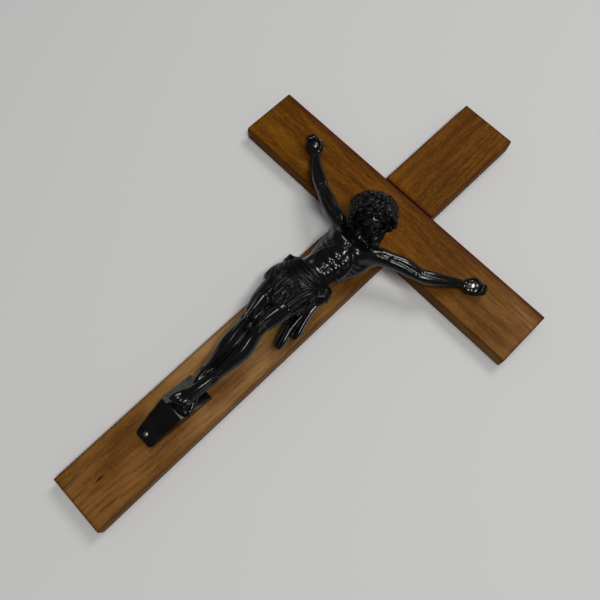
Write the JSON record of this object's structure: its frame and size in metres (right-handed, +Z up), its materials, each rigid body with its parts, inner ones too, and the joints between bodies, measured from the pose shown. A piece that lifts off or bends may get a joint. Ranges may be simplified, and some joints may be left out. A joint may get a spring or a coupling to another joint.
{
  "type": "wall crucifix",
  "caption": "Wall crucifix of halved oak boards with a black cast corpus, its arms cast apart, nailed through the hands and a roof-shaped foot rest.",
  "frame": {"origin": "centre of the crossing on the back face of the upright", "axes": "+Z up along the upright, +X to the viewer's right along the cross board, +Y into the wall, front faces -Y"},
  "size_m": [0.337, 0.0779, 0.53],
  "materials": {
    "upright_oak": "waxed amber oak",
    "cross_oak": "waxed amber oak",
    "corpus_black": "glossy black lacquer on cast metal, worn brown on the high places",
    "foot_rest_black": "glossy black lacquer on cast metal",
    "bright_nail": "bright domed steel",
    "dull_nail": "dull grey steel",
    "screw_steel": "plain steel"
  },
  "bodies": {
    "root": {"upright_beam": "upright_oak", "cross_beam": "cross_oak", "lap_screws": "screw_steel", "corpus_body": "corpus_black", "corpus_right_arm": "corpus_black", "corpus_left_arm": "corpus_black", "foot_rest": "foot_rest_black", "right_hand_nail": "dull_nail", "left_hand_nail": "bright_nail", "foot_rest_nail": "dull_nail"}
  },
  "joints": []
}
